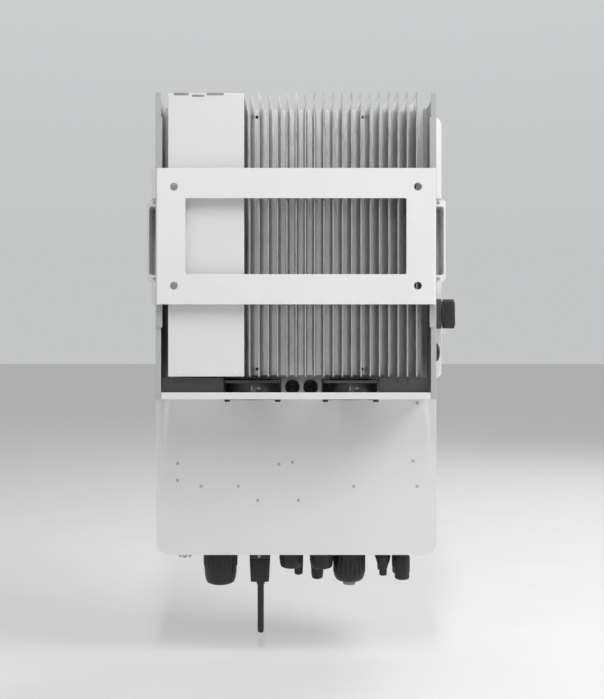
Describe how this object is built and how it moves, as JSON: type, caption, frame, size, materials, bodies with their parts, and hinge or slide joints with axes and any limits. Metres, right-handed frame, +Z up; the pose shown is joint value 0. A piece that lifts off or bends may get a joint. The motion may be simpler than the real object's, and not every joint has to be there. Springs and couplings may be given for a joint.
{
  "type": "string inverter",
  "caption": "Wall-hung hybrid string inverter: sheet casing with display, finned heat sink, twin cooling fans, DC switch, side handles, cable glands and hanging frame.",
  "frame": {"origin": "midway between the hanging frame's two upper bolt holes, on its wall face", "axes": "+Z up, +Y towards the wall, so the display faces -Y and the DC switch is on the -X side"},
  "size_m": [0.4711, 0.2485, 0.8038],
  "materials": {
    "casing_white": "fine-textured white powder coat",
    "bracket_white": "satin white powder coat on folded sheet",
    "trim_white": "matt white print on keys, knob and fan marks",
    "wall_grey": "light grey painted sheet",
    "cast_aluminium": "cast and blasted, lightly grained",
    "sheet_steel": "zinc plated",
    "dark_sheet": "matt dark coat",
    "seal_rubber": "matt black rubber",
    "gloss_fascia": "gloss black",
    "light_lens": "frosted lens",
    "display_black": "dark glassy display",
    "circuit_board": "green solder mask",
    "capacitor_can": "blue sleeved cans",
    "copper_coil": "enamelled copper winding",
    "terminal_plastic": "matt dark grey",
    "knob_black": "finely textured black",
    "black_nylon": "moulded black nylon",
    "fan_plastic": "moulded black",
    "key_rubber": "matt grey silicone"
  },
  "bodies": {
    "casing": {"main_housing": "casing_white", "front_cover": "casing_white", "wiring_cover": "casing_white", "side_plate_left": "casing_white", "side_plate_right": "casing_white", "handle_left": "casing_white", "handle_right": "casing_white", "mounting_frame": "bracket_white", "inductor_box": "casing_white", "fan_shelf": "casing_white", "dc_switch_base": "terminal_plastic", "hanger_arm_left": "wall_grey", "hanger_arm_right": "wall_grey", "rear_wall_left": "wall_grey", "rear_wall_right": "wall_grey", "heat_sink": "cast_aluminium", "partition_plate": "sheet_steel", "baffle_left": "dark_sheet", "baffle_right": "dark_sheet", "front_gasket": "seal_rubber", "wiring_gasket": "seal_rubber", "grommet_left": "seal_rubber", "grommet_right": "seal_rubber", "display_window": "gloss_fascia", "status_light_bar": "light_lens", "display_module": "display_black", "control_board": "circuit_board", "power_board": "circuit_board", "capacitor_bank": "capacitor_can", "inductor_core": "copper_coil", "ac_terminal_block": "terminal_plastic", "battery_terminal_block": "terminal_plastic", "dc_switch_body": "terminal_plastic", "power_button_bezel": "black_nylon", "fan_frame_left": "fan_plastic", "fan_frame_right": "fan_plastic", "logger_body": "black_nylon", "logger_aerial": "black_nylon", "gland_grid_body": "black_nylon", "gland_grid_nut": "black_nylon", "gland_load_body": "black_nylon", "gland_load_nut": "black_nylon", "gland_generator_body": "black_nylon", "gland_generator_nut": "black_nylon", "gland_battery_body": "black_nylon", "gland_battery_nut": "black_nylon", "signal_gland_left": "black_nylon", "signal_gland_right": "black_nylon", "pv_connector_1": "black_nylon", "pv_connector_2": "black_nylon", "pv_connector_3": "black_nylon", "pv_connector_4": "black_nylon"},
    "dc_switch_knob": {"dc_switch_knob": "knob_black"},
    "power_button": {"power_button": "knob_black"},
    "fan_rotor_left": {"fan_rotor_left": "fan_plastic"},
    "fan_rotor_right": {"fan_rotor_right": "fan_plastic"},
    "key_esc": {"key_esc": "key_rubber"},
    "key_up": {"key_up": "key_rubber"},
    "key_down": {"key_down": "key_rubber"},
    "key_enter": {"key_enter": "key_rubber"}
  },
  "joints": [
    {"name": "dc_switch_turn", "type": "hinge", "parent": "casing", "child": "dc_switch_knob", "pos_m": [-0.222, -0.1194, -0.173], "axis": [-1, 0, 0], "range_deg": [0, 90]},
    {"name": "power_button_press", "type": "slide", "parent": "casing", "child": "power_button", "axis": [1, 0, 0], "range_m": [0, 0.003], "stiffness_N_per_m": 600},
    {"name": "fan_spin_right", "type": "hinge", "parent": "casing", "child": "fan_rotor_right", "pos_m": [0.0616, -0.057, -0.281], "axis": [0, 0, 1], "continuous": true},
    {"name": "fan_spin_left", "type": "hinge", "parent": "casing", "child": "fan_rotor_left", "pos_m": [-0.0773, -0.057, -0.281], "axis": [0, 0, 1], "continuous": true},
    {"name": "key_esc_press", "type": "slide", "parent": "casing", "child": "key_esc", "axis": [0, 1, 0], "range_m": [0, 0.001], "stiffness_N_per_m": 400},
    {"name": "key_up_press", "type": "slide", "parent": "casing", "child": "key_up", "axis": [0, 1, 0], "range_m": [0, 0.001], "stiffness_N_per_m": 400},
    {"name": "key_down_press", "type": "slide", "parent": "casing", "child": "key_down", "axis": [0, 1, 0], "range_m": [0, 0.001], "stiffness_N_per_m": 400},
    {"name": "key_enter_press", "type": "slide", "parent": "casing", "child": "key_enter", "axis": [0, 1, 0], "range_m": [0, 0.001], "stiffness_N_per_m": 400}
  ]
}
